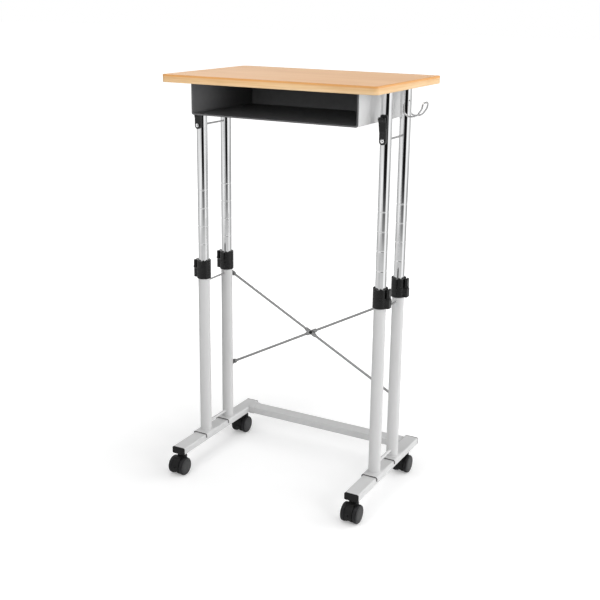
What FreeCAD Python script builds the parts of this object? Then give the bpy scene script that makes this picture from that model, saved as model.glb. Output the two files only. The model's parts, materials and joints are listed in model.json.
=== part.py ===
import FreeCAD, Part
import os
import math
from FreeCAD import Vector as V

# Standing desk on casters with telescopic legs. Millimetres, +Z up, the front faces -Y.
# Working coordinates have the table top centred on x = 0, y = 0 and the floor at z = 0.
# SHIFT then moves everything so that the origin is the bottom centre of the overall box.

# ---- driving dimensions -------------------------------------------------------------------
SHIFT = V(-10.8, 13.0, 0.0)

TOP_W, TOP_D, TOP_T = 600.0, 400.0, 20.0      # table top
TOP_H = 1100.0                                # height of the work surface at the top setting
BAND_T = 2.0                                  # edge band thickness
CORNER_R = 12.0                               # table top corner radius

LEG_X = 267.0                                 # leg centres
LEG_YF, LEG_YB = -68.0, 48.0
OUT_R, OUT_WALL = 16.0, 1.2                   # outer tube
IN_R, IN_WALL = 14.3, 1.2                     # inner tube
OUT_TOP = 576.0
IN_BOTTOM = 440.0
IN_TOP = 1077.0
RING_Z0, RING_PITCH, RING_N = 635.0, 50.0, 4  # ring grooves on the inner tubes
TRAVEL = 200.0

COL_R = 19.5                                  # clamp collar
COL_Z0, COL_ZR, COL_Z1 = 537.5, 576.0, 590.0
COL_SLIT_Z = 563.5
LEV_X, LEV_Y = 23.6, 4.5                      # lever pin, from the leg's axis
LEV_Z1 = 588.0                                # top of the lever

FOOT_W, FOOT_H, FOOT_T = 40.0, 20.0, 1.6      # foot tube
FOOT_Z0 = 60.0
FOOT_YF, FOOT_YB = -204.0, 187.0
CAP_T = 3.0
BAR_YF, BAR_YB = 137.0, 177.0                 # crossbar
SADDLE_T, SADDLE_L = 3.2, 60.0

TIE_TOP_Z, TIE_TOP_R = 961.0, 2.5
TIE_MID_Z, TIE_MID_R = 526.0, 2.5
TIE_LOW_Z, TIE_LOW_R = 101.0, 4.0
BRACE_ZU, BRACE_ZL, BRACE_R = 526.0, 243.0, 3.4

TRAY_XO = 235.5                               # tray shell half width
TRAY_YF, TRAY_YB = -158.8, 136.0
TRAY_Z0, TRAY_SHEET = 998.0, 1.5
HEM_W, HEM_T = 15.0, 1.2                      # folded hem on the tray's outer sides, along the front edge
FLANGE_X = 224.0                              # inner edge of the tray's upper flange
SCREW_X = 228.6                               # tray screws

WHEEL_R, WHEEL_X0, WHEEL_X1 = 25.0, 11.0, 24.0
STEM_YF, STEM_YB = -189.0, 138.0              # caster stems
TRAIL = 12.0                                  # wheel axle ahead of the stem
AXLE_R = 3.0
STEM_R = 5.0

FIT = 0.05                                    # radial running fit
LEGS = {"fl": (-1, LEG_YF), "fr": (1, LEG_YF), "bl": (-1, LEG_YB), "br": (1, LEG_YB)}
CASTERS = {"fl": (-1, STEM_YF), "fr": (1, STEM_YF), "bl": (-1, STEM_YB), "br": (1, STEM_YB)}


# ---- helpers ------------------------------------------------------------------------------
def box(x0, y0, z0, x1, y1, z1):
    return Part.makeBox(x1 - x0, y1 - y0, z1 - z0, V(x0, y0, z0))


def cyl(r, p0, p1):
    p0, p1 = V(*p0), V(*p1)
    d = p1 - p0
    return Part.makeCylinder(r, d.Length, p0, d)


def tube(ro, ri, x, y, z0, z1):
    return cyl(ro, (x, y, z0), (x, y, z1)).cut(cyl(ri, (x, y, z0 - 1), (x, y, z1 + 1)))


def edges_where(shape, test):
    return [e for e in shape.Edges if test(e)]


def is_line_along(e, axis):
    if len(e.Vertexes) != 2 or not isinstance(e.Curve, Part.Line):
        return False
    d = e.Vertexes[1].Point - e.Vertexes[0].Point
    if d.Length < 1e-6:
        return False
    return abs(abs(d.dot(axis)) / d.Length - 1) < 1e-6


def rounded_box(x0, y0, z0, x1, y1, z1, r, axis):
    b = box(x0, y0, z0, x1, y1, z1)
    return b.makeFillet(r, edges_where(b, lambda e: is_line_along(e, axis)))


def face_from(points):
    pts = [V(*p) for p in points]
    return Part.Face(Part.makePolygon(pts + [pts[0]]))


def revolve(profile, centre, axis):
    """Turn a closed list of points about an axis through centre."""
    return face_from(profile).revolve(V(*centre), V(*axis), 360)


def wire_path(points, radii):
    """Straight runs joined by tangent arcs through a list of points."""
    pts = [V(*p) for p in points]
    edges = []
    start = pts[0]
    for i in range(1, len(pts) - 1):
        a, b, c = pts[i - 1], pts[i], pts[i + 1]
        u, w = (a - b).normalize(), (c - b).normalize()
        half = math.acos(max(-1.0, min(1.0, u.dot(w)))) / 2
        t = radii[i - 1] / math.tan(half)
        p, q = b + u * t, b + w * t
        bis = (u + w).normalize()
        centre = b + bis * (radii[i - 1] / math.sin(half))
        mid = centre - bis * radii[i - 1]
        if (p - start).Length > 1e-6:
            edges.append(Part.LineSegment(start, p).toShape())
        edges.append(Part.Arc(p, mid, q).toShape())
        start = q
    edges.append(Part.LineSegment(start, pts[-1]).toShape())
    return Part.Wire(edges)


def round_bar(points, radii, r):
    path = wire_path(points, radii)
    d = V(*points[1]) - V(*points[0])
    section = Part.Wire(Part.makeCircle(r, V(*points[0]), d))
    return path.makePipeShell([section], True, True)


def group(shapes):
    return Part.makeCompound(shapes)


def mirror_x(shape):
    return shape.mirror(V(0, 0, 0), V(1, 0, 0))


NODES = {}


def put(name, shape):
    NODES[name] = shape


# ---- table top ----------------------------------------------------------------------------
z_under = TOP_H - TOP_T
outer = rounded_box(-TOP_W / 2, -TOP_D / 2, z_under, TOP_W / 2, TOP_D / 2, TOP_H, CORNER_R, V(0, 0, 1))
inner = rounded_box(-TOP_W / 2 + BAND_T, -TOP_D / 2 + BAND_T, z_under - 1, TOP_W / 2 - BAND_T, TOP_D / 2 - BAND_T,
                    TOP_H + 1, CORNER_R - BAND_T, V(0, 0, 1))


def rim(shape, z):
    return [e for e in shape.Edges if abs(e.BoundBox.ZMin - z) < 1e-6 and abs(e.BoundBox.ZMax - z) < 1e-6]


outer = outer.makeFillet(1.8, rim(outer, TOP_H))
outer = outer.makeFillet(1.2, rim(outer, z_under))
edge_band = outer.cut(inner)
core = rounded_box(-TOP_W / 2 + BAND_T, -TOP_D / 2 + BAND_T, z_under, TOP_W / 2 - BAND_T, TOP_D / 2 - BAND_T,
                   TOP_H, CORNER_R - BAND_T, V(0, 0, 1))

# screws: four through each leg plate, six through the tray's upper flange
PLATE_Y0, PLATE_Y1 = LEG_YF - 34.0, LEG_YB + 34.0
PLATE_T = TOP_H - TOP_T - IN_TOP
screw_at = []
for s in (-1, 1):
    for dx in (-12.0, 12.0):
        for y in (PLATE_Y0 + 9.0, PLATE_Y1 - 9.0):
            screw_at.append((s * LEG_X + dx, y, IN_TOP))
    for y in (-140.0, -10.0, 118.0):
        screw_at.append((s * SCREW_X, y, z_under - TRAY_SHEET))
screws = []
for x, y, z in screw_at:
    shank = cyl(1.9, (x, y, z), (x, y, z_under + 12.0))
    head = cyl(2.6, (x, y, z - 2.0), (x, y, z))
    head = head.makeFillet(0.8, rim(head, z - 2.0))
    screws.append(shank.fuse(head).removeSplitter())
    core = core.cut(cyl(1.95, (x, y, z_under - 1), (x, y, z_under + 12.5)))
put("top_board", core)
put("edge_band", edge_band)
put("top_screws", group(screws))

plates = []
for s in (-1, 1):
    p = rounded_box(s * LEG_X - 18.0, PLATE_Y0, IN_TOP, s * LEG_X + 18.0, PLATE_Y1, z_under, 5.0, V(0, 0, 1))
    for x, y, z in screw_at:
        if abs(z - IN_TOP) < 1e-6 and x * s > 0:
            p = p.cut(cyl(1.95, (x, y, IN_TOP - 1), (x, y, z_under + 1)))
    plates.append(p)
put("leg_top_plates", group(plates))

# ---- book tray ----------------------------------------------------------------------------
t = TRAY_SHEET
shell_out = box(-TRAY_XO, TRAY_YF, TRAY_Z0, TRAY_XO, TRAY_YB, z_under)
low = [e for e in edges_where(shell_out, lambda e: is_line_along(e, V(0, 1, 0))) if abs(e.BoundBox.ZMax - TRAY_Z0) < 1e-6]
shell_out = shell_out.makeFillet(6.0, low)
shell_in = box(-TRAY_XO + t, TRAY_YF - 5, TRAY_Z0 + t, TRAY_XO - t, TRAY_YB - t, z_under - t)
low = [e for e in edges_where(shell_in, lambda e: is_line_along(e, V(0, 1, 0))) if abs(e.BoundBox.ZMax - TRAY_Z0 - t) < 1e-6]
shell_in = shell_in.makeFillet(4.5, low)
shell = shell_out.cut(shell_in)
# open top inside the upper flange, which runs along the sides and the back
shell = shell.cut(box(-FLANGE_X, TRAY_YF - 1, z_under - t - 0.01, FLANGE_X, TRAY_YB - 10.0, z_under + 1))
for s in (-1, 1):
    xa, xb = sorted((s * (TRAY_XO - 0.2), s * (TRAY_XO + HEM_T)))
    hem = box(xa, TRAY_YF, TRAY_Z0 + 6.0, xb, TRAY_YF + HEM_W, z_under)
    outside = s * (TRAY_XO + HEM_T)
    hem = hem.makeFillet(0.55, [e for e in hem.Edges if is_line_along(e, V(0, 0, 1)) and abs(e.BoundBox.XMin - outside) < 1e-6])
    shell = shell.fuse(hem)
shell = shell.removeSplitter()
for x, y, z in screw_at:
    if abs(z - (z_under - t)) < 1e-6:
        shell = shell.cut(cyl(1.95, (x, y, z - 1), (x, y, z_under + 1)))
put("tray_shell", shell)

# liner: a box in the shell, with a narrow rim that covers the shell's front edge
LINER_T, RIM_T = 2.2, 1.2
TRAY_XI = TRAY_XO - t - 0.05
lz0 = TRAY_Z0 + t
lyf, lyb = TRAY_YF, TRAY_YB - t - 1.0
LINER_TOP = z_under - 4.5
liner_out = box(-TRAY_XI, lyf - RIM_T, lz0, TRAY_XI, lyb, LINER_TOP)
low = [e for e in edges_where(liner_out, lambda e: is_line_along(e, V(0, 1, 0))) if abs(e.BoundBox.ZMax - lz0) < 1e-6]
liner_out = liner_out.makeFillet(4.6, low)
front = box(-TRAY_XO, lyf - RIM_T, TRAY_Z0, TRAY_XO, lyf, z_under - 0.5)
low = [e for e in edges_where(front, lambda e: is_line_along(e, V(0, 1, 0))) if abs(e.BoundBox.ZMax - TRAY_Z0) < 1e-6]
front = front.makeFillet(6.0, low)
liner_out = liner_out.fuse(front).removeSplitter()
liner_in = box(-TRAY_XI + LINER_T, lyf - 5, lz0 + LINER_T, TRAY_XI - LINER_T, lyb - LINER_T, z_under + 5)
low = [e for e in edges_where(liner_in, lambda e: is_line_along(e, V(0, 1, 0))) if abs(e.BoundBox.ZMax - lz0 - LINER_T) < 1e-6]
liner_in = liner_in.makeFillet(3.0, low)
put("tray_liner", liner_out.cut(liner_in))

# ---- upper tubes --------------------------------------------------------------------------
HOOK_Z = 1037.0          # wire hook's ends in the right back tube
WIRE_R = 2.2
GROOVE_W, GROOVE_D = 4.0, 0.6     # rolled ring grooves
groove_r = (GROOVE_W ** 2 / 4 + GROOVE_D ** 2) / (2 * GROOVE_D)
bushes = []
for leg, (s, y) in LEGS.items():
    x = s * LEG_X
    body = tube(IN_R, IN_R - IN_WALL, x, y, IN_BOTTOM, IN_TOP)
    for k in range(RING_N):
        z = RING_Z0 + k * RING_PITCH
        body = body.cut(Part.makeTorus(IN_R - GROOVE_D + groove_r, groove_r, V(x, y, z), V(0, 0, 1)))
    body = body.cut(cyl(TIE_TOP_R + 0.1, (x, y - 20, TIE_TOP_Z), (x, y + 20, TIE_TOP_Z)))
    if leg == "br":
        body = body.cut(cyl(WIRE_R + 0.1, (x + 1.5, y - 20, HOOK_Z), (x + 1.5, y + 20, HOOK_Z)))
    put("inner_tube_" + leg, body)
    ring = tube(IN_R + 0.2, 9.0, x, y, IN_BOTTOM - 6.0, IN_BOTTOM)
    plug = tube(IN_R - IN_WALL, 9.0, x, y, IN_BOTTOM, IN_BOTTOM + 22.0)
    bushes.append(ring.fuse(plug).removeSplitter())
put("slide_bushes", group(bushes))

# upper ties run through both tubes of a side, from the bag hook to the back of the back tube
nuts = []
for s in (-1, 1):
    x = s * LEG_X
    for y0, d in ((LEG_YF - IN_R - 6.0, -1), (LEG_YB + IN_R, 1)):
        nut = revolve([(x, y0, TIE_TOP_Z + TIE_TOP_R), (x, y0, TIE_TOP_Z + 5.0), (x, y0 + d * 2.6, TIE_TOP_Z + 5.0),
                       (x, y0 + d * 4.4, TIE_TOP_Z + 3.6), (x, y0 + d * 5.4, TIE_TOP_Z + 1.6), (x, y0 + d * 5.6, TIE_TOP_Z),
                       (x, y0 + d * 4.6, TIE_TOP_Z), (x, y0 + d * 4.6, TIE_TOP_Z + TIE_TOP_R)],
                      (x, 0, TIE_TOP_Z), (0, 1, 0))
        nuts.append(nut)
TIE_Y0, TIE_Y1 = LEG_YF - IN_R - 10.6, LEG_YB + IN_R + 4.4
ties = [cyl(TIE_TOP_R, (s * LEG_X, TIE_Y0, TIE_TOP_Z), (s * LEG_X, TIE_Y1, TIE_TOP_Z)) for s in (-1, 1)]
put("upper_ties", group(ties))
put("tie_cap_nuts", group(nuts))


# bag hooks: a block held by the tie's nut, a tongue that leans forward and a windowed plate on the tube behind it
def bag_hook(x):
    # block and tongue from the side, as distances ahead of the tube's axis
    side = [(9.0, 950.0), (20.3, 950.0), (20.3, 980.0), (21.5, 982.5), (25.0, 1006.0), (28.5, 1012.0), (29.0, 1016.0), (27.5, 1018.5),
            (25.5, 1017.5), (24.5, 1011.0), (22.0, 1003.0), (20.4, 993.0), (19.2, 990.5), (17.6, 990.5), (16.8, 992.0), (9.0, 992.0)]
    solid = face_from([(x - 14.0, LEG_YF - d, z) for d, z in side]).extrude(V(28.0, 0, 0))
    # the same from the front: round at the foot, a little wider towards the tongue's tip
    half = [(8.8, 960.0), (8.8, 982.0), (9.6, 1006.0), (9.9, 1013.0), (9.2, 1017.0), (7.4, 1019.5)]
    front = [(x - a, z) for a, z in half] + [(x + a, z) for a, z in reversed(half)]
    out = [Part.LineSegment(V(a[0], 0, a[1]), V(b[0], 0, b[1])).toShape() for a, b in zip(front, front[1:])]
    out.append(Part.Arc(V(x + 8.8, 0, 960.0), V(x, 0, 951.2), V(x - 8.8, 0, 960.0)).toShape())
    mask = Part.Face(Part.Wire(out)).extrude(V(0, 60, 0))
    mask.translate(V(0, LEG_YF - 50, 0))
    solid = solid.common(mask)
    plate = rounded_box(x - 8.8, LEG_YF - 16.8, 975.0, x + 8.8, LEG_YF - 9.0, 1024.0, 3.5, V(0, 1, 0))
    window = rounded_box(x - 5.2, LEG_YF - 17.5, 995.0, x + 5.2, LEG_YF - 8.0, 1015.5, 2.0, V(0, 1, 0))
    solid = solid.fuse(plate).removeSplitter().cut(window)
    solid = solid.cut(cyl(IN_R, (x, LEG_YF, 900), (x, LEG_YF, 1100)))
    solid = solid.cut(cyl(TIE_TOP_R + 0.1, (x, LEG_YF - 50, TIE_TOP_Z), (x, LEG_YF, TIE_TOP_Z)))
    return solid


put("bag_hooks", group([bag_hook(-LEG_X), bag_hook(LEG_X)]))

# wire hook: both ends enter the right back tube from the front and the back
hx, hy = LEG_X, LEG_YB
w = IN_R + WIRE_R + 0.8
side_run = [(hx + 1.5, 1037.0), (hx + 3.0, 1018.0), (hx + 15.0, 1008.6), (hx + 37.0, 1010.5), (hx + 50.9, 1030.0), (hx + 52.4, 1044.0)]
half = [(hx + 1.5, hy - 11.0, 1037.0)] + [(px, hy - w, pz) for px, pz in side_run]
pts = half + [(p[0], 2 * hy - p[1], p[2]) for p in reversed(half)]
radii = [3.0, 9.0, 14.0, 20.0, 22.0, 9.0]
wire_hook = round_bar(pts, radii + list(reversed(radii)), WIRE_R)
put("wire_hook", wire_hook)

# ---- lower tubes, collars and levers ------------------------------------------------------
saddle_top = FOOT_Z0 + FOOT_H + SADDLE_T
for leg, (s, y) in LEGS.items():
    put("outer_tube_" + leg, tube(OUT_R, OUT_R - OUT_WALL, s * LEG_X, y, saddle_top, OUT_TOP))


def collar(turn):
    """Clamp collar about x = 0, y = 0, boss and lever on the +X side. The rim's low places are turned by an angle from -Y."""
    c = cyl(COL_R, (0, 0, COL_Z0), (0, 0, COL_Z1))
    c = c.makeFillet(1.0, rim(c, COL_Z0) + rim(c, COL_Z1))
    boss = rounded_box(12.0, -9.5, COL_Z0 + 1.5, 28.0, 9.5, COL_SLIT_Z - 0.6, 3.0, V(0, 0, 1))
    boss = boss.makeFillet(0.8, rim(boss, COL_Z0 + 1.5))
    c = c.fuse(boss).removeSplitter()
    c = c.cut(cyl(OUT_R, (0, 0, COL_Z0 - 1), (0, 0, COL_ZR)))
    c = c.cut(cyl(IN_R + 0.4, (0, 0, COL_ZR - 1), (0, 0, COL_Z1 + 1)))
    # scalloped rim: two shallow dips with a small peak between them, front and back
    for a in (turn - 21.0, turn + 21.0, turn + 159.0, turn + 201.0):
        d = V(math.sin(math.radians(a)), -math.cos(math.radians(a)), 0)
        c = c.cut(Part.makeCylinder(8.5, 30.0, V(0, 0, COL_Z1 + 5.6), d))
    # cross slit and upright split that let the upper half close on the tube
    c = c.cut(box(3.0, -25, COL_SLIT_Z - 0.6, 25, 25, COL_SLIT_Z + 0.6))
    c = c.cut(box(5.0, -0.8, COL_SLIT_Z - 0.6, 25, 0.8, COL_Z1 + 1))
    # grip grooves on the lower half
    for z in (544.5, 552.5):
        c = c.cut(Part.makeTorus(COL_R + 0.3, 0.7, V(0, 0, z), V(0, 0, 1)))
    c = c.cut(cyl(1.55, (LEV_X, LEV_Y, COL_Z0 + 8.0), (LEV_X, LEV_Y, COL_Z1 + 1)))
    return c


def lever():
    z0, z1 = COL_SLIT_Z + 1.2, LEV_Z1
    e = [Part.LineSegment(V(LEV_X - 3.6, LEV_Y, 0), V(LEV_X - 3.6, -8.0, 0)).toShape(),
         Part.Arc(V(LEV_X - 3.6, -8.0, 0), V(LEV_X + 0.4, -10.4, 0), V(LEV_X + 4.4, -8.0, 0)).toShape(),
         Part.LineSegment(V(LEV_X + 4.4, -8.0, 0), V(LEV_X + 3.6, LEV_Y, 0)).toShape(),
         Part.Arc(V(LEV_X + 3.6, LEV_Y, 0), V(LEV_X, LEV_Y + 3.6, 0), V(LEV_X - 3.6, LEV_Y, 0)).toShape()]
    body = Part.Face(Part.Wire(e)).extrude(V(0, 0, z1 - z0))
    body.translate(V(0, 0, z0))
    body = body.makeFillet(0.9, rim(body, z1))
    tab = rounded_box(LEV_X + 2.0, -8.2, z0, LEV_X + 6.2, -3.0, z0 + 5.0, 1.2, V(0, 0, 1))
    body = body.fuse(tab).removeSplitter()
    return body.cut(cyl(1.5 + FIT, (LEV_X, LEV_Y, z0 - 1), (LEV_X, LEV_Y, z1 + 1)))


def lever_pin():
    a = cyl(1.5, (LEV_X, LEV_Y, COL_Z0 + 8.5), (LEV_X, LEV_Y, LEV_Z1 + 0.4))
    h = cyl(2.6, (LEV_X, LEV_Y, LEV_Z1 + 0.4), (LEV_X, LEV_Y, LEV_Z1 + 1.8))
    h = h.makeFillet(0.5, rim(h, LEV_Z1 + 1.8))
    return a.fuse(h).removeSplitter()


pins = []
for leg, (s, y) in LEGS.items():
    for kind, made in (("collar_", collar(s * 26.0)), ("lever_", lever()), (None, lever_pin())):
        if s < 0:
            made = mirror_x(made)
        made.translate(V(s * LEG_X, y, 0))
        if kind:
            put(kind + leg, made)
        else:
            pins.append(made)
put("lever_pins", group(pins))

mid, lowt = [], []
for s in (-1, 1):
    x = s * LEG_X
    for r, z, out in ((TIE_MID_R, TIE_MID_Z, mid), (TIE_LOW_R, TIE_LOW_Z, lowt)):
        rod = cyl(r, (x, LEG_YF, z), (x, LEG_YB, z))
        for y in (LEG_YF, LEG_YB):
            rod = rod.cut(cyl(OUT_R, (x, y, z - 20), (x, y, z + 20)))
        out.append(rod)
put("middle_ties", group(mid))
put("lower_ties", group(lowt))

# ---- cross brace behind the back tubes ----------------------------------------------------
yb = LEG_YB + OUT_R
BRACE_T = 3.0
zc = (BRACE_ZU + BRACE_ZL) / 2
run = math.hypot(2 * LEG_X, BRACE_ZU - BRACE_ZL)
FLAT_C, FLAT_E = 20.0, 21.0


def brace_rod():
    """Rod along +X about the origin, flats lying in the XZ plane, thickness along Y."""
    h = run / 2
    parts = [cyl(BRACE_R, (-h + 8.0, 0, 0), (h - 8.0, 0, 0))]
    mid_flat = rounded_box(-FLAT_C, -BRACE_T / 2, -5.6, FLAT_C, BRACE_T / 2, 5.6, 5.5, V(0, 1, 0))
    ends = []
    for s in (-1, 1):
        e = rounded_box(min(s * h - 7.0, s * h - s * FLAT_E), -BRACE_T / 2, -6.4, max(s * h + 7.0, s * h - s * FLAT_E), BRACE_T / 2, 6.4,
                        6.3, V(0, 1, 0))
        ends.append(e)
    # the round bar is pressed flat at the middle and at the ends
    rod = parts[0]
    for x0, x1 in ((-FLAT_C + 2, FLAT_C - 2), (-h - 10, -h + FLAT_E - 3), (h - FLAT_E + 3, h + 10)):
        rod = rod.cut(box(x0, BRACE_T / 2, -10, x1, 10, 10)).cut(box(x0, -10, -10, x1, -BRACE_T / 2, 10))
    rod = rod.fuse([mid_flat] + ends).removeSplitter()
    for x in (-h, 0, h):
        rod = rod.cut(cyl(2.6, (x, -10, 0), (x, 10, 0)))
    return rod


ang = math.degrees(math.atan2(BRACE_ZU - BRACE_ZL, 2 * LEG_X))
rods = []
for sgn, y in ((1, yb + BRACE_T / 2), (-1, yb + BRACE_T * 1.5)):
    r = brace_rod()
    # sgn = 1 falls to the right
    r.rotate(V(0, 0, 0), V(0, 1, 0), sgn * ang)
    r.translate(V(0, y, zc))
    rods.append(r)
put("brace_rods", group(rods))


def bolt(x, z, y_end, y_seat, d, r_head, h_head, r=2.5):
    """Round-headed bolt along Y, shank from y_end to the seat, head standing from the seat along d."""
    a = cyl(r, (x, y_end, z), (x, y_seat, z))
    prof = [(x, y_seat, z), (x, y_seat, z + r_head), (x, y_seat + d * h_head * 0.45, z + r_head * 0.93),
            (x, y_seat + d * h_head * 0.8, z + r_head * 0.66), (x, y_seat + d * h_head, z + r_head * 0.3), (x, y_seat + d * h_head, z)]
    return a.fuse(revolve(prof, (x, 0, z), (0, 1, 0))).removeSplitter()


centre = [bolt(0, zc, yb + 2 * BRACE_T + 4.0, yb, -1, 4.8, 3.2)]
nut = Part.Face(Part.makePolygon([V(4.4 * math.cos(math.radians(60 * k)), yb + 2 * BRACE_T, zc + 4.4 * math.sin(math.radians(60 * k)))
                                  for k in range(7)])).extrude(V(0, 3.2, 0))
nut = nut.cut(cyl(2.5, (0, yb, zc), (0, yb + 20, zc)))
centre.append(nut)
put("brace_centre_bolt", group(centre))
ends = []
for s in (-1, 1):
    # the rod on the tube falls to the right, the other one stands off on a spacer
    z_near = BRACE_ZU if s < 0 else BRACE_ZL
    z_far = BRACE_ZL if s < 0 else BRACE_ZU
    for z, seat in ((z_near, yb + BRACE_T), (z_far, yb + 2 * BRACE_T)):
        b = bolt(s * LEG_X, z, yb - 1.0, seat, 1, 5.0, 3.4)
        ends.append(b.cut(cyl(OUT_R, (s * LEG_X, LEG_YB, z - 20), (s * LEG_X, LEG_YB, z + 20))))
    spacer = tube(5.5, 2.5, 0, 0, 0, BRACE_T)
    spacer.rotate(V(0, 0, 0), V(1, 0, 0), -90)
    spacer.translate(V(s * LEG_X, yb, z_far))
    ends.append(spacer)
put("brace_end_bolts", group(ends))

# ---- feet, crossbar -----------------------------------------------------------------------
z0, z1 = FOOT_Z0, FOOT_Z0 + FOOT_H
feet, caps, saddles = {}, [], []
SOCKET_R = 8.0
for s, name in ((-1, "foot_left"), (1, "foot_right")):
    x = s * LEG_X
    f = rounded_box(x - FOOT_W / 2, FOOT_YF, z0, x + FOOT_W / 2, FOOT_YB, z1, 4.0, V(0, 1, 0))
    f = f.cut(rounded_box(x - FOOT_W / 2 + FOOT_T, FOOT_YF - 1, z0 + FOOT_T, x + FOOT_W / 2 - FOOT_T, FOOT_YB + 1, z1 - FOOT_T, 2.4, V(0, 1, 0)))
    for y in (STEM_YF, STEM_YB):
        f = f.cut(cyl(SOCKET_R, (x, y, z0 - 1), (x, y, z0 + 5)))
    put(name, f)
    for y, d in ((FOOT_YF, -1), (FOOT_YB, 1)):
        ya, yb_ = sorted((y, y + d * CAP_T))
        plate = rounded_box(x - FOOT_W / 2, ya, z0, x + FOOT_W / 2, yb_, z1, 4.0, V(0, 1, 0))
        rimf = [e for e in plate.Edges if abs(e.BoundBox.YMin - (y + d * CAP_T)) < 1e-6 and abs(e.BoundBox.YMax - (y + d * CAP_T)) < 1e-6]
        plate = plate.makeFillet(0.8, rimf)
        ya, yb_ = sorted((y, y - d * 4.0))
        plug = rounded_box(x - FOOT_W / 2 + FOOT_T + 0.05, ya, z0 + FOOT_T + 0.05, x + FOOT_W / 2 - FOOT_T - 0.05, yb_, z1 - FOOT_T - 0.05, 2.3, V(0, 1, 0))
        caps.append(plate.fuse(plug).removeSplitter())
    for y in (LEG_YF, LEG_YB):
        so = rounded_box(x - FOOT_W / 2 - SADDLE_T, y - SADDLE_L / 2, z0 - 4, x + FOOT_W / 2 + SADDLE_T, y + SADDLE_L / 2, z1 + SADDLE_T, 6.0, V(0, 1, 0))
        si = rounded_box(x - FOOT_W / 2, y - SADDLE_L / 2 - 1, z0 - 6, x + FOOT_W / 2, y + SADDLE_L / 2 + 1, z1, 4.0, V(0, 1, 0))
        sad = so.cut(si).cut(box(x - 40, y - 60, z0 - 10, x + 40, y + 60, z1 - 9.0))
        saddles.append(sad)
put("foot_end_caps", group(caps))
put("leg_saddles", group(saddles))

xin = LEG_X - FOOT_W / 2
STUB_L = 14.0
bar = rounded_box(-xin + 0.0, BAR_YF, z0, xin, BAR_YB, z1, 3.0, V(1, 0, 0))
bar_in = rounded_box(-xin - 1, BAR_YF + FOOT_T, z0 + FOOT_T, xin + 1, BAR_YB - FOOT_T, z1 - FOOT_T, 1.5, V(1, 0, 0))
put("crossbar", bar.cut(bar_in))
stubs = []
for s in (-1, 1):
    xa, xb = sorted((s * xin, s * (xin - STUB_L)))
    st = rounded_box(xa, BAR_YF - 1.5, z0 - 1.5, xb, BAR_YB + 1.5, z1 + 1.5, 4.5, V(1, 0, 0))
    st = st.cut(rounded_box(xa - 1, BAR_YF, z0, xb + 1, BAR_YB, z1, 3.0, V(1, 0, 0)))
    stubs.append(st)
put("crossbar_stubs", group(stubs))

# ---- casters ------------------------------------------------------------------------------
sockets = []
for leg, (s, ys) in CASTERS.items():
    x = s * LEG_X
    ya = ys - TRAIL                                   # wheel axle
    # socket pressed into the foot's underside
    so = cyl(SOCKET_R, (x, ys, z0 - 0.0), (x, ys, z1 - FOOT_T - 0.4))
    fl = cyl(13.0, (x, ys, z0 - 2.0), (x, ys, z0))
    so = so.fuse(fl).removeSplitter().cut(cyl(STEM_R + FIT, (x, ys, z0 - 5), (x, ys, z1 - FOOT_T - 2.4)))
    sockets.append(so)
    # stem with its thrust collar
    stem = cyl(STEM_R, (x, ys, 36.0), (x, ys, z1 - FOOT_T - 3.0))
    stem = stem.fuse(cyl(11.6, (x, ys, 56.2), (x, ys, 57.6))).removeSplitter()
    put("caster_stem_" + leg, stem)
    # hood between the wheels: round like the wheels, boss for the stem, open towards the floor
    hw = WHEEL_X0 - 0.6
    hood = cyl(24.2, (x - hw, ya, WHEEL_R), (x + hw, ya, WHEEL_R))
    boss = cyl(9.6, (x, ys, WHEEL_R), (x, ys, 56.2))
    neck = cyl(12.6, (x, ys, 50.8), (x, ys, 56.2))
    neck = neck.makeFillet(0.8, rim(neck, 56.2))
    hood = hood.fuse(boss).fuse(neck)
    hood = hood.fuse(box(x - hw, ya - 11.0, WHEEL_R, x + hw, ys + 9.0, 52.0)).removeSplitter()
    hood = hood.cut(box(x - 30, ya - 60, -5, x + 30, ya + 60, 7.0))
    hood = hood.cut(box(x - hw + 2.2, ya - 9.0, -5, x + hw - 2.2, ya + 40, 19.0))
    hood = hood.cut(cyl(4.6, (x, ya - 40, 7.0), (x, ya, 7.0)))
    hood = hood.cut(cyl(2.0, (x, ya - 40, 27.0), (x, ya - 19, 27.0)))
    hood = hood.cut(cyl(STEM_R, (x, ys, 36.0), (x, ys, 60)))
    hood = hood.cut(cyl(AXLE_R, (x - 40, ya, WHEEL_R), (x + 40, ya, WHEEL_R)))
    put("caster_hood_" + leg, hood)
    put("caster_axle_" + leg, cyl(AXLE_R, (x - 20.0, ya, WHEEL_R), (x + 20.0, ya, WHEEL_R)))
    for side, d in (("left", -1), ("right", 1)):
        a, b = WHEEL_X0, WHEEL_X1
        r = WHEEL_R
        prof = [(a, AXLE_R + FIT), (a, r - 4.0), (a + 0.6, r - 1.6), (a + 2.0, r - 0.4), (a + 3.6, r), (b - 5.4, r), (b - 3.4, r - 0.5), (b - 1.9, r - 1.8),
                (b - 1.2, r - 3.6), (b - 1.2, r - 4.6), (b - 2.0, r - 4.8), (b - 2.0, r - 5.6), (b - 0.8, r - 6.2), (b - 0.2, r - 11.0), (b, 5.5), (b, 0.0),
                (20.6, 0.0), (20.6, AXLE_R + FIT)]
        wheel = revolve([(x + d * px, ya, WHEEL_R + pr) for px, pr in prof], (x, ya, WHEEL_R), (1, 0, 0))
        put("caster_wheel_%s_%s" % (leg, side), wheel)
put("caster_sockets", group(sockets))

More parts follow.
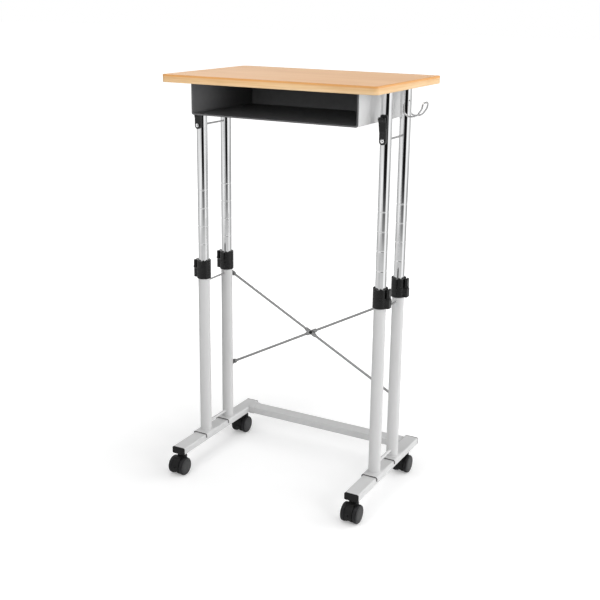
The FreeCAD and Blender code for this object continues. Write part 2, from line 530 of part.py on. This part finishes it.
# ---- write --------------------------------------------------------------------------------
os.makedirs("parts", exist_ok=True)
for old in os.listdir("parts"):
    if old.endswith(".step"):
        os.remove(os.path.join("parts", old))
total = None
for name, shape in sorted(NODES.items()):
    shape = shape.copy()
    shape.translate(SHIFT)
    n = len(shape.Solids)
    if not shape.isValid() or n == 0:
        print("PROBLEM", name, "valid", shape.isValid(), "solids", n)
    if shape.ShapeType != "Compound" and n == 1:
        shape = shape.Solids[0]
    shape.exportStep("parts/" + name + ".step")
    bb = shape.BoundBox
    total = bb if total is None else total.united(bb)
    print("%-26s solids %2d volume %10.1f  x %.1f..%.1f y %.1f..%.1f z %.1f..%.1f" % (
        name, n, shape.Volume, bb.XMin, bb.XMax, bb.YMin, bb.YMax, bb.ZMin, bb.ZMax))
print(len(NODES), "nodes, overall x %.2f..%.2f y %.2f..%.2f z %.2f..%.2f" % (
    total.XMin, total.XMax, total.YMin, total.YMax, total.ZMin, total.ZMax))
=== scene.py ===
import json
import math

import bmesh
import bpy
from mathutils import Matrix, Vector


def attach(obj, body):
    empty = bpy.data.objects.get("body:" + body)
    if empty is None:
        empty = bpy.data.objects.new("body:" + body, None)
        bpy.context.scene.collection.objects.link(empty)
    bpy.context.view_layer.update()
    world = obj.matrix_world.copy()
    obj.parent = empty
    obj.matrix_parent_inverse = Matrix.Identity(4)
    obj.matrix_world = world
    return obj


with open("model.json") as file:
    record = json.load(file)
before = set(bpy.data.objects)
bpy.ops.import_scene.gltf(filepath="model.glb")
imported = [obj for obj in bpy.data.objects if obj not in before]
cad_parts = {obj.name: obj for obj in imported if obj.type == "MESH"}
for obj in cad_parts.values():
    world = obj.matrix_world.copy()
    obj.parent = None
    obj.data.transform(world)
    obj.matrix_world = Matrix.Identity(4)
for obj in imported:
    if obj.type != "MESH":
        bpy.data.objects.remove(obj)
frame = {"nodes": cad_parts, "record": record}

# Standing desk on casters. Metres, the frame of the CAD model: +Z up, the tray's open side faces -Y.
nodes = frame["nodes"]
scene = bpy.context.scene
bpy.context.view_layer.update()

# places used below, the same as in the CAD model
DX, DY = -0.0108, 0.013
LEG_X = 0.267
LEGS = {"fl": (-LEG_X + DX, -0.068 + DY), "fr": (LEG_X + DX, -0.068 + DY),
        "bl": (-LEG_X + DX, 0.048 + DY), "br": (LEG_X + DX, 0.048 + DY)}
OUT_R = 0.016
SADDLE_TOP = 0.0832


# ---- materials ----------------------------------------------------------------------------
class Mat:
    """A Principled material and short ways to add nodes to it."""

    def __init__(self, name, **values):
        self.m = bpy.data.materials.new(name)
        self.m.use_nodes = True
        self.nt = self.m.node_tree
        self.nt.nodes.clear()
        out = self.nt.nodes.new("ShaderNodeOutputMaterial")
        self.bsdf = self.nt.nodes.new("ShaderNodeBsdfPrincipled")
        self.link(self.bsdf.outputs["BSDF"], out.inputs["Surface"])
        for k, v in values.items():
            self.bsdf.inputs[k.replace("_", " ")].default_value = v
        self._tc = None

    def link(self, a, b):
        self.nt.links.new(a, b)

    def node(self, kind, **props):
        n = self.nt.nodes.new(kind)
        for k, v in props.items():
            setattr(n, k, v)
        return n

    def tc(self, which="Object"):
        if self._tc is None:
            self._tc = self.node("ShaderNodeTexCoord")
        return self._tc.outputs[which]

    def coords(self, sx, sy, sz, which="Object", rot=(0, 0, 0)):
        m = self.node("ShaderNodeMapping")
        m.inputs["Scale"].default_value = (sx, sy, sz)
        m.inputs["Rotation"].default_value = rot
        self.link(self.tc(which), m.inputs["Vector"])
        return m.outputs["Vector"]

    def noise(self, vec, scale=1.0, detail=2.0, rough=0.5, distortion=0.0):
        n = self.node("ShaderNodeTexNoise")
        n.inputs["Scale"].default_value = scale
        n.inputs["Detail"].default_value = detail
        n.inputs["Roughness"].default_value = rough
        n.inputs["Distortion"].default_value = distortion
        self.link(vec, n.inputs["Vector"])
        return n.outputs["Fac"]

    def math(self, op, a, b=None, clamp=False):
        n = self.node("ShaderNodeMath", operation=op, use_clamp=clamp)
        for i, v in enumerate((a, b)):
            if v is None:
                continue
            if isinstance(v, (int, float)):
                n.inputs[i].default_value = v
            else:
                self.link(v, n.inputs[i])
        return n.outputs[0]

    def remap(self, v, a, b, c, d):
        n = self.node("ShaderNodeMapRange")
        n.inputs["From Min"].default_value = a
        n.inputs["From Max"].default_value = b
        n.inputs["To Min"].default_value = c
        n.inputs["To Max"].default_value = d
        self.link(v, n.inputs["Value"])
        return n.outputs["Result"]

    def ramp(self, fac, stops):
        n = self.node("ShaderNodeValToRGB")
        e = n.color_ramp.elements
        while len(e) < len(stops):
            e.new(0.5)
        for el, (p, c) in zip(e, stops):
            el.position = p
            el.color = (*c, 1.0)
        self.link(fac, n.inputs["Fac"])
        return n.outputs["Color"]

    def mix(self, fac, a, b, blend="MIX"):
        n = self.node("ShaderNodeMix", data_type="RGBA", blend_type=blend)
        for i, v in ((0, fac), (6, a), (7, b)):
            if isinstance(v, (int, float)):
                n.inputs[i].default_value = v
            elif isinstance(v, tuple):
                n.inputs[i].default_value = (*v, 1.0)
            else:
                self.link(v, n.inputs[i])
        return n.outputs[2]

    def colour(self, c):
        self.link(c, self.bsdf.inputs["Base Color"])

    def roughness(self, v):
        self.link(v, self.bsdf.inputs["Roughness"])

    def bump(self, height, strength, distance):
        n = self.node("ShaderNodeBump")
        n.inputs["Strength"].default_value = strength
        n.inputs["Distance"].default_value = distance
        self.link(height, n.inputs["Height"])
        self.link(n.outputs["Normal"], self.bsdf.inputs["Normal"])


def wood_top():
    """Pale laminate with a quiet straight grain along the long side."""
    m = Mat("wood_top", Specular_IOR_Level=0.16)
    figure = m.noise(m.coords(1.2, 15.0, 15.0), 1.0, 3.0, 0.5, 0.6)
    streak = m.noise(m.coords(4.0, 150.0, 150.0), 1.0, 4.0, 0.6)
    cloud = m.noise(m.coords(2.5, 5.0, 5.0), 1.0, 1.0)
    pores = m.remap(m.noise(m.coords(26.0, 900.0, 900.0), 1.0, 2.0, 0.5), 0.60, 0.72, 0.0, 1.0)
    t = m.math("ADD", m.math("ADD", m.math("MULTIPLY", figure, 0.45), m.math("MULTIPLY", streak, 0.38)), m.math("MULTIPLY", cloud, 0.17))
    base = m.ramp(t, [(0.30, (0.775, 0.472, 0.275)), (0.47, (0.868, 0.565, 0.348)), (0.62, (0.930, 0.630, 0.405))])
    base = m.mix(m.math("MULTIPLY", pores, 0.22), base, (0.60, 0.36, 0.21))
    # plain grey backing sheet on the underside
    sep = m.node("ShaderNodeSeparateXYZ")
    m.link(m.tc("Normal"), sep.inputs["Vector"])
    under = m.remap(sep.outputs["Z"], -0.8, -0.6, 1.0, 0.0)
    m.colour(m.mix(under, base, m.ramp(cloud, [(0.3, (0.43, 0.43, 0.435)), (0.7, (0.50, 0.50, 0.505))])))
    m.roughness(m.remap(streak, 0.3, 0.7, 0.60, 0.48))
    m.bump(m.math("SUBTRACT", streak, m.math("MULTIPLY", pores, 0.7)), 0.10, 0.0002)
    return m.m


def wood_edge():
    """Edge band: yellower than the top, grain along each edge. Painted shade: a deeper tone over the rounded arris.
    Painted light: paler towards the lower edge.
    """
    m = Mat("wood_edge", Specular_IOR_Level=0.3)
    along_x = m.noise(m.coords(7.0, 30.0, 420.0), 1.0, 4.0, 0.6)
    along_y = m.noise(m.coords(30.0, 7.0, 420.0), 1.0, 4.0, 0.6)
    sep = m.node("ShaderNodeSeparateXYZ")
    m.link(m.tc("Normal"), sep.inputs["Vector"])
    side = m.math("GREATER_THAN", m.math("ABSOLUTE", sep.outputs["X"]), 0.7)
    mixf = m.node("ShaderNodeMix", data_type="FLOAT")
    m.link(side, mixf.inputs[0])
    m.link(along_x, mixf.inputs[2])
    m.link(along_y, mixf.inputs[3])
    streak = mixf.outputs[0]
    blotch = m.noise(m.coords(9.0, 9.0, 60.0), 1.0, 2.0)
    t = m.math("ADD", m.math("MULTIPLY", streak, 0.55), m.math("MULTIPLY", blotch, 0.45))
    # painted light: the band is paler towards its lower edge, standing in for the light its rounded lower edge
    # catches from below; painted shade: its top few millimetres are a deeper tone
    place = m.node("ShaderNodeSeparateXYZ")
    m.link(m.tc("Object"), place.inputs["Vector"])
    upper = m.ramp(t, [(0.32, (0.570, 0.325, 0.135)), (0.50, (0.660, 0.408, 0.192)), (0.66, (0.730, 0.485, 0.250))])
    lit_lower_tone = m.ramp(t, [(0.32, (0.640, 0.410, 0.205)), (0.50, (0.725, 0.505, 0.282)), (0.66, (0.790, 0.580, 0.350))])
    base = m.mix(m.remap(place.outputs["Z"], 1.0800, 1.0945, 1.0, 0.0), upper, lit_lower_tone)
    # painted shade: a deeper orange line over the upper arris
    arris = m.math("MULTIPLY", m.remap(place.outputs["Z"], 1.0942, 1.0960, 0.0, 1.0), 0.80)
    m.colour(m.mix(arris, base, (0.660, 0.300, 0.080)))
    m.roughness(m.remap(streak, 0.3, 0.7, 0.48, 0.36))
    m.bump(streak, 0.10, 0.0002)
    return m.m


def powder_coat(name, tone, rough=0.40, painted_shade_tone=None):
    """Powder coat: faint orange peel and a faint drift of tone. Faces along Y can take a darker tone of their own,
    painted shade standing in for the shadow line at a plate's ends.
    """
    m = Mat(name, Specular_IOR_Level=0.28)
    peel =m.noise(m.coords(1, 1, 1), 520.0, 2.0, 0.55)
    drift = m.noise(m.coords(1, 1, 0.4), 7.0, 2.0)
    speck = m.noise(m.coords(1, 1, 1), 2600.0, 1.0)
    t = m.math("ADD", m.math("MULTIPLY", drift, 0.6), m.math("MULTIPLY", speck, 0.4))
    base = m.ramp(t, [(0.35, (tone * 0.955,) * 3), (0.65, (tone * 1.045,) * 3)])
    if painted_shade_tone is not None:
        # painted shade: faces whose normal runs along Y are mixed towards the darker tone
        sep = m.node("ShaderNodeSeparateXYZ")
        m.link(m.tc("Normal"), sep.inputs["Vector"])
        end_shade_mask = m.remap(m.math("ABSOLUTE", sep.outputs["Y"]), 0.6, 0.8, 0.0, 1.0)
        base = m.mix(end_shade_mask, base, m.ramp(t, [(0.35, (painted_shade_tone * 0.9,) * 3), (0.65, (painted_shade_tone * 1.1,) * 3)]))
    m.colour(base)
    m.roughness(m.remap(peel, 0.3, 0.7, rough - 0.05, rough + 0.06))
    m.bump(peel, 0.09, 0.00025)
    return m.m


def chrome():
    """Bright plate with a faint haze along the tube."""
    m = Mat("chrome", Metallic=1.0)
    haze = m.noise(m.coords(300.0, 300.0, 9.0), 1.0, 3.0, 0.55)
    cloud = m.noise(m.coords(1, 1, 1), 30.0, 2.0)
    m.colour(m.ramp(cloud, [(0.3, (0.87, 0.875, 0.88)), (0.7, (0.93, 0.935, 0.94))]))
    m.roughness(m.remap(haze, 0.3, 0.7, 0.025, 0.07))
    return m.m


def zinc(name, tone, rough=0.42):
    """Plated bar or wire: faint drawn lines, slightly dull in patches."""
    m = Mat(name, Metallic=1.0)
    line = m.noise(m.coords(1, 1, 1), 900.0, 3.0, 0.6)
    patch = m.noise(m.coords(1, 1, 1), 55.0, 3.0, 0.6)
    m.colour(m.ramp(patch, [(0.3, (tone * 0.94,) * 3), (0.7, (tone * 1.06,) * 3)]))
    m.roughness(m.remap(patch, 0.3, 0.7, rough - 0.06, rough + 0.06))
    m.bump(line, 0.010, 0.0001)
    return m.m


def moulded(name, tone, rough, grain=1500.0, strength=0.16, spec=0.42, vary=0.19):
    """Moulded plastic with a fine spark-eroded grain, worn a little smoother in patches."""
    m = Mat(name, Specular_IOR_Level=spec)
    fine = m.noise(m.coords(1, 1, 1), grain, 2.0, 0.6)
    patch = m.noise(m.coords(1, 1, 1), 70.0, 2.0)
    lo, hi = tone * (1.0 - vary), tone * (1.0 + vary)
    m.colour(m.ramp(patch, [(0.3, (lo, lo, lo * 1.02)), (0.7, (hi, hi, hi * 1.02))]))
    m.roughness(m.remap(patch, 0.3, 0.7, rough - 0.06, rough + 0.06))
    m.bump(fine, strength, 0.00015)
    return m.m


def wheel_nylon():
    """Caster wheel: black throughout, with painted light on the side out to the rim's rounding, which is painted dark
    grey for the side light it catches; black tread; faint turning rings.
    """
    m = Mat("wheel_nylon", Specular_IOR_Level=0.22)
    sep = m.node("ShaderNodeSeparateXYZ")
    m.link(m.tc("Generated"), sep.inputs["Vector"])
    y = m.math("SUBTRACT", sep.outputs["Y"], 0.5)
    z = m.math("SUBTRACT", sep.outputs["Z"], 0.5)
    r = m.math("SQRT", m.math("ADD", m.math("MULTIPLY", y, y), m.math("MULTIPLY", z, z)))
    # painted light: the side inside the rim's rounding is mixed to the lighter grey
    lit_side_mask = m.remap(r, 0.435, 0.468, 1.0, 0.0)
    patch = m.noise(m.coords(1, 1, 1), 110.0, 3.0, 0.6)
    tread = m.ramp(patch, [(0.3, (0.009, 0.009, 0.010)), (0.7, (0.016, 0.016, 0.017))])
    grey = m.ramp(patch, [(0.3, (0.034, 0.034, 0.035)), (0.7, (0.048, 0.048, 0.049))])
    m.colour(m.mix(lit_side_mask, tread, grey))
    rings = m.math("SINE", m.math("MULTIPLY", r, 420.0))
    fine = m.noise(m.coords(1, 1, 1), 1400.0, 2.0)
    m.roughness(m.remap(patch, 0.3, 0.7, 0.34, 0.48))
    m.bump(m.math("ADD", fine, m.math("MULTIPLY", rings, 0.25)), 0.12, 0.00015)
    return m.m


mats = {
    "wood_top": wood_top(),
    "wood_edge": wood_edge(),
    "grey_paint": powder_coat("grey_paint", 0.60),
    "black_liner": moulded("black_liner", 0.110, 0.55, 1100.0, 0.14, 0.2, 0.07),
    "chrome": chrome(),
    "zinc_steel": zinc("zinc_steel", 0.56),
    "black_bolt": moulded("black_bolt", 0.014, 0.36, 2200.0, 0.10, 0.4),
    "black_plastic": moulded("black_plastic", 0.0115, 0.42, spec=0.15),
    "wheel_nylon": wheel_nylon(),
}
own = {
    "wire_hook": zinc("wire_plate", 0.66, 0.20),
    "brace_rods": zinc("brace_plate", 0.38, 0.40),
    # the saddles' front and back ends are darkened with painted shade
    "leg_saddles": powder_coat("saddle_paint_shaded_ends", 0.60, painted_shade_tone=0.13),
}
polished = moulded("clamp_plastic", 0.0050, 0.28, spec=0.40)
own.update({n: polished for n in nodes if n.startswith(("collar_", "lever_f", "lever_b", "bag_hooks"))})
slot_of = {s["node"]: s["material_slot"] for s in frame["record"]["subparts"]}
for name, o in nodes.items():
    o.data.materials.clear()
    o.data.materials.append(own.get(name, mats[slot_of[name]]))


# ---- welds --------------------------------------------------------------------------------
def ring_bead(bm, centre, axis, radius, bead, ripples, steps=120, around=10, lift=0.0):
    """A rippled weld bead round an axis, added to a bmesh."""
    axis = Vector(axis).normalized()
    u = axis.orthogonal().normalized()
    v = axis.cross(u)
    rows = []
    for i in range(steps):
        a = 2 * math.pi * i / steps
        out = u * math.cos(a) + v * math.sin(a)
        swell = 1.0 + 0.10 * math.sin(ripples * a) + 0.06 * math.sin(3 * a + 0.7) + 0.04 * math.sin(7 * a + 2.1)
        row = []
        for k in range(around):
            b = 2 * math.pi * k / around
            p = Vector(centre) + out * (radius + bead * swell * math.cos(b)) + axis * (lift + bead * swell * 0.85 * math.sin(b))
            row.append(bm.verts.new(p))
        rows.append(row)
    for i in range(steps):
        p, q = rows[i], rows[(i + 1) % steps]
        for k in range(around):
            f = bm.faces.new((p[k], q[k], q[(k + 1) % around], p[(k + 1) % around]))
            f.smooth = True


def piece(name, bm, material, body):
    bmesh.ops.recalc_face_normals(bm, faces=bm.faces)
    me = bpy.data.meshes.new(name)
    bm.to_mesh(me)
    bm.free()
    o = bpy.data.objects.new(name, me)
    scene.collection.objects.link(o)
    o.data.materials.append(material)
    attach(o, body)
    return o


bm = bmesh.new()
for leg, (x, y) in LEGS.items():
    ring_bead(bm, (x, y, SADDLE_TOP), (0, 0, 1), OUT_R + 0.0004, 0.0021, 46)
piece("leg_welds", bm, mats["grey_paint"], "base")

bm = bmesh.new()
for s in ("l", "r"):
    x = LEGS["f" + s][0]
    for y, d in ((LEGS["f" + s][1], 1), (LEGS["b" + s][1], -1)):
        ring_bead(bm, (x, y + d * OUT_R, 0.101), (0, 1, 0), 0.0042, 0.0012, 13, 56, 8)
        ring_bead(bm, (x, y + d * OUT_R, 0.526), (0, 1, 0), 0.0027, 0.0009, 11, 48, 8)
piece("tie_welds", bm, mats["grey_paint"], "base")


# ---- camera -------------------------------------------------------------------------------
def camera(place, yaw, pitch, roll, focal_px, centre_y):
    f = Vector((-math.sin(yaw) * math.cos(pitch), math.cos(yaw) * math.cos(pitch), -math.sin(pitch)))
    r = Vector((math.cos(yaw), math.sin(yaw), 0.0))
    u = r.cross(f)
    r2 = r * math.cos(roll) + u * math.sin(roll)
    u2 = -r * math.sin(roll) + u * math.cos(roll)
    data = bpy.data.cameras.new("camera")
    data.sensor_width = 36.0
    data.lens = focal_px / 600.0 * 36.0
    data.shift_y = (centre_y - 300.0) / 600.0
    data.clip_start, data.clip_end = 0.05, 100.0
    o = bpy.data.objects.new("camera", data)
    scene.collection.objects.link(o)
    m = Matrix((r2, u2, -f)).transposed().to_4x4()
    m.translation = Vector(place) + Vector((DX, DY, 0.0))
    o.matrix_world = m
    scene.camera = o
    return o


YAW = 0.4987
camera((1.2380, -2.2755, 1.2991), YAW, 0.2703, 0.0123, 996.4, 270.0)


# ---- floor, backdrop and light ------------------------------------------------------------
def floor_mat(tone, near, far):
    """Pale floor that fades into the white backdrop with its distance from the desk."""
    m = bpy.data.materials.new("floor")
    m.use_nodes = True
    nt = m.node_tree
    nt.nodes.clear()
    out = nt.nodes.new("ShaderNodeOutputMaterial")
    d = nt.nodes.new("ShaderNodeBsdfDiffuse")
    d.inputs["Color"].default_value = (tone, tone, tone, 1.0)
    e = nt.nodes.new("ShaderNodeEmission")
    lp = nt.nodes.new("ShaderNodeLightPath")
    tc = nt.nodes.new("ShaderNodeTexCoord")
    r = nt.nodes.new("ShaderNodeVectorMath")
    r.operation = "LENGTH"
    nt.links.new(tc.outputs["Object"], r.inputs[0])
    fade = nt.nodes.new("ShaderNodeMapRange")
    fade.interpolation_type = "SMOOTHSTEP"
    for k, v in (("From Min", 0.35), ("From Max", 1.5), ("To Min", near), ("To Max", far)):
        fade.inputs[k].default_value = v
    nt.links.new(r.outputs["Value"], fade.inputs["Value"])
    k = nt.nodes.new("ShaderNodeMath")
    k.operation = "MULTIPLY"
    nt.links.new(lp.outputs["Is Camera Ray"], k.inputs[0])
    nt.links.new(fade.outputs["Result"], k.inputs[1])
    nt.links.new(k.outputs[0], e.inputs["Strength"])
    a = nt.nodes.new("ShaderNodeAddShader")
    nt.links.new(d.outputs[0], a.inputs[0])
    nt.links.new(e.outputs[0], a.inputs[1])
    nt.links.new(a.outputs[0], out.inputs["Surface"])
    return m


CARD_Z0, CARD_Z1 = -0.6, 0.6


def card_mat(name, stops):
    """Card that glows with a tone that changes with its height: (height, tone) pairs, lowest first."""
    m = bpy.data.materials.new(name)
    m.use_nodes = True
    nt = m.node_tree
    nt.nodes.clear()
    out = nt.nodes.new("ShaderNodeOutputMaterial")
    e = nt.nodes.new("ShaderNodeEmission")
    tc = nt.nodes.new("ShaderNodeTexCoord")
    sep = nt.nodes.new("ShaderNodeSeparateXYZ")
    nt.links.new(tc.outputs["Object"], sep.inputs["Vector"])
    fac = nt.nodes.new("ShaderNodeMapRange")
    for k, v in (("From Min", CARD_Z0), ("From Max", CARD_Z1), ("To Min", 0.0), ("To Max", 1.0)):
        fac.inputs[k].default_value = v
    nt.links.new(sep.outputs["Z"], fac.inputs["Value"])
    ramp = nt.nodes.new("ShaderNodeValToRGB")
    el = ramp.color_ramp.elements
    while len(el) < len(stops):
        el.new(0.5)
    for s, (z, tone) in zip(el, stops):
        s.position = (z - CARD_Z0) / (CARD_Z1 - CARD_Z0)
        s.color = (tone, tone, tone, 1.0)
    nt.links.new(fac.outputs["Result"], ramp.inputs["Fac"])
    nt.links.new(ramp.outputs["Color"], e.inputs["Color"])
    nt.links.new(e.outputs[0], out.inputs["Surface"])
    return m


def stage_mesh(name, verts, faces, material):
    me = bpy.data.meshes.new(name)
    me.from_pydata(verts, [], faces)
    o = bpy.data.objects.new(name, me)
    scene.collection.objects.link(o)
    o.data.materials.append(material)
    return o


floor_paint = floor_mat(0.88, 0.24, 0.75)
N = 96
R_NEAR = 0.9
disc = [(R_NEAR * math.cos(2 * math.pi * i / N), R_NEAR * math.sin(2 * math.pi * i / N), -0.0002) for i in range(N)]
stage_mesh("floor_near", disc, [tuple(range(N))], floor_paint)
far = stage_mesh("floor_far", [(-30, -30, -0.0004), (30, -30, -0.0004), (30, 30, -0.0004), (-30, 30, -0.0004)], [(0, 1, 2, 3)], floor_paint)
far.visible_glossy = False

# dark side of the studio behind the camera, seen only in bright metal
cam_dir = Vector((math.sin(YAW), -math.cos(YAW), 0.0))
cam_right = Vector((math.cos(YAW), math.sin(YAW), 0.0))


def around(phi, dist, z):
    """Place at an angle to the right of the camera's direction, seen from the desk."""
    p = math.radians(phi)
    d = cam_dir * math.cos(p) + cam_right * math.sin(p)
    return Vector((d.x * dist, d.y * dist, z))


DARK = [(-0.4, 0.62), (-0.22, 0.55), (-0.16, 0.48), (-0.06, 0.27), (0.04, 0.19), (0.145, 0.07), (0.245, 0.014), (0.40, 0.006)]
SOFT = [(-0.4, 0.64), (-0.22, 0.60), (-0.06, 0.50), (0.145, 0.42), (0.40, 0.34)]
for k, (p0, p1, stops) in enumerate([
        (-12.0, 38.0, DARK), (-18.0, -12.0, SOFT), (38.0, 44.0, SOFT),
        (-45.0, -18.0,[(-0.30, 0.54), (-0.16, 0.56), (-0.06, 0.60), (0.04, 0.73), (0.145, 0.82), (0.245, 0.95), (0.345, 0.83), (0.445, 0.68)]),
        (-70.0, -45.0, [(-0.40, 0.60), (-0.22, 0.63), (-0.16, 0.74), (-0.06, 0.95), (0.145, 1.0), (0.245, 0.95), (0.345, 0.86), (0.445, 0.82)]),
        (-112.0, -70.0, [(-0.30, 0.68), (0.145, 0.68), (0.445, 0.76)]),
        (-128.0, -112.0, [(-0.4, 0.30), (0.0, 0.14), (0.40, 0.04)]),
        (-140.0, -128.0, [(-0.30, 0.68), (0.145, 0.68), (0.445, 0.76)]),
        (142.0, 176.0, [(-0.4, 0.60), (-0.10, 0.34), (0.145, 0.09), (0.40, 0.02)]),
        (134.0, 142.0, SOFT), (176.0, 184.0, SOFT),
        (86.0, 128.0,[(-0.30, 0.44), (-0.06, 0.42), (0.145, 0.37), (0.245, 0.40), (0.345, 0.57), (0.445, 0.66)])]):
    vs, fs = [], []
    steps = 24
    for i in range(steps + 1):
        p = p0 + (p1 - p0) * i / steps
        vs += [tuple(around(p, 3.5, -2.5)), tuple(around(p, 3.5, 3.2))]
    for i in range(steps):
        fs.append((2 * i, 2 * i + 2, 2 * i + 3, 2 * i + 1))
    c = stage_mesh("card_%d" % k, vs, fs, card_mat("card_%d" % k, stops))
    c.visible_camera = False
    c.visible_diffuse = False
    c.visible_shadow = False
    c.visible_transmission = False


def softbox(name, phi, dist, z, target_z, w, h, radiance):
    d = bpy.data.lights.new(name, "AREA")
    d.shape = "RECTANGLE"
    d.size, d.size_y = w, h
    d.energy = radiance * math.pi * w * h
    return hang(name, d, around(phi, dist, z), Vector((0, 0, target_z)))


def hang(name, light, place, target):
    o = bpy.data.objects.new(name, light)
    scene.collection.objects.link(o)
    o.location = place
    o.rotation_mode = "QUATERNION"
    o.rotation_quaternion = (target - place).to_track_quat("-Z", "Y")
    return o


softbox("key", 96.0, 2.7, 1.30, 1.00, 2.5, 2.5, 2.45).visible_glossy = False
softbox("key_front", 38.0, 2.6, 1.15, 0.95, 0.9, 1.6, 4.4).visible_glossy = False
softbox("front", -38.0, 1.4, 1.28, 1.05, 0.7, 0.6, 5.0).visible_glossy = False
# small lamp with a narrow soft beam that reaches into the tray from the right
lamp = bpy.data.lights.new("tray_fill", "SPOT")
lamp.energy, lamp.shadow_soft_size = 180.0, 0.09
lamp.spot_size, lamp.spot_blend = math.radians(4.0), 1.0
hang("tray_fill", lamp, around(36.0, 2.4, 0.98), Vector((-0.241, -0.128, 1.030))).visible_glossy = False
top = bpy.data.lights.new("overhead", "AREA")
top.shape = "RECTANGLE"
top.size, top.size_y = 2.2, 2.2
top.energy = 0.95 * math.pi * 2.2 * 2.2
top_o = bpy.data.objects.new("overhead", top)
scene.collection.objects.link(top_o)
top_o.location = (0.2, -0.2, 2.9)

world = bpy.data.worlds.new("studio")
scene.world = world
world.use_nodes = True
nt = world.node_tree
nt.nodes.clear()
out = nt.nodes.new("ShaderNodeOutputWorld")
seen = nt.nodes.new("ShaderNodeBackground")
seen.inputs["Color"].default_value = (1, 1, 1, 1)
seen.inputs["Strength"].default_value = 1.0
lit = nt.nodes.new("ShaderNodeBackground")
lit.inputs["Color"].default_value = (1, 1, 1, 1)
lit.inputs["Strength"].default_value = 0.48
lp = nt.nodes.new("ShaderNodeLightPath")
mirrored = nt.nodes.new("ShaderNodeBackground")
mirrored.inputs["Color"].default_value = (1, 1, 1, 1)
mirrored.inputs["Strength"].default_value = 1.0
mg = nt.nodes.new("ShaderNodeMixShader")
nt.links.new(lp.outputs["Is Glossy Ray"], mg.inputs[0])
nt.links.new(lit.outputs[0], mg.inputs[1])
nt.links.new(mirrored.outputs[0], mg.inputs[2])
mx = nt.nodes.new("ShaderNodeMixShader")
nt.links.new(lp.outputs["Is Camera Ray"], mx.inputs[0])
nt.links.new(mg.outputs[0], mx.inputs[1])
nt.links.new(seen.outputs[0], mx.inputs[2])
nt.links.new(mx.outputs[0], out.inputs["Surface"])

scene.view_settings.view_transform = "Standard"
scene.view_settings.look = "None"
